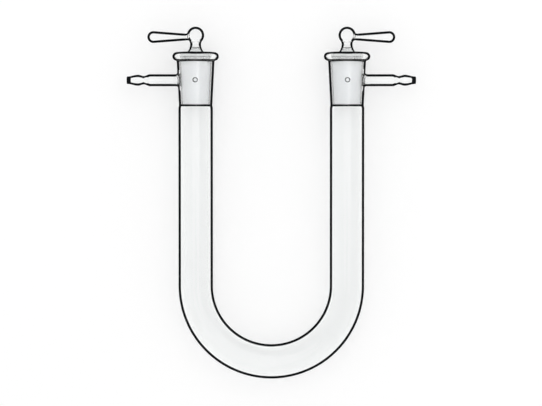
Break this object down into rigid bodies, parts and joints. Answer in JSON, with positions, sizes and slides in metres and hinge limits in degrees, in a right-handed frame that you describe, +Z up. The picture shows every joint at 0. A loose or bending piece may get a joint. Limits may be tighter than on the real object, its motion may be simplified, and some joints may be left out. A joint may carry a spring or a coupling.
{
  "type": "drying tube",
  "caption": "U-shaped glass drying tube with a side arm and a ground socket on each limb, closed by hollow ground stoppers with lever handles.",
  "frame": {"origin": "on the ground, under the middle of the object's bounding box, as it lies on its back", "axes": "+X to the right limb, +Y up the limbs to the stoppers, +Z up from the ground, out of the side that shows the holes of the closed plugs"},
  "size_m": [0.168, 0.2046, 0.027],
  "materials": {
    "u_tube_glass": "clear borosilicate, polished, with the cones of the sockets ground matt",
    "stopper_glass": "clear borosilicate, polished, with the plug's cone ground matt"
  },
  "bodies": {
    "u_tube": {"u_tube": "u_tube_glass"},
    "left_stopper": {"left_stopper": "stopper_glass"},
    "right_stopper": {"right_stopper": "stopper_glass"}
  },
  "joints": [
    {"name": "left_stopper_turn", "type": "hinge", "parent": "u_tube", "child": "left_stopper", "pos_m": [-0.044, 0.06964, 0.01319], "axis": [0, 0.9998, 0.0197], "continuous": true},
    {"name": "right_stopper_turn", "type": "hinge", "parent": "u_tube", "child": "right_stopper", "pos_m": [0.044, 0.06964, 0.01319], "axis": [0, -0.9998, -0.0197], "continuous": true}
  ]
}
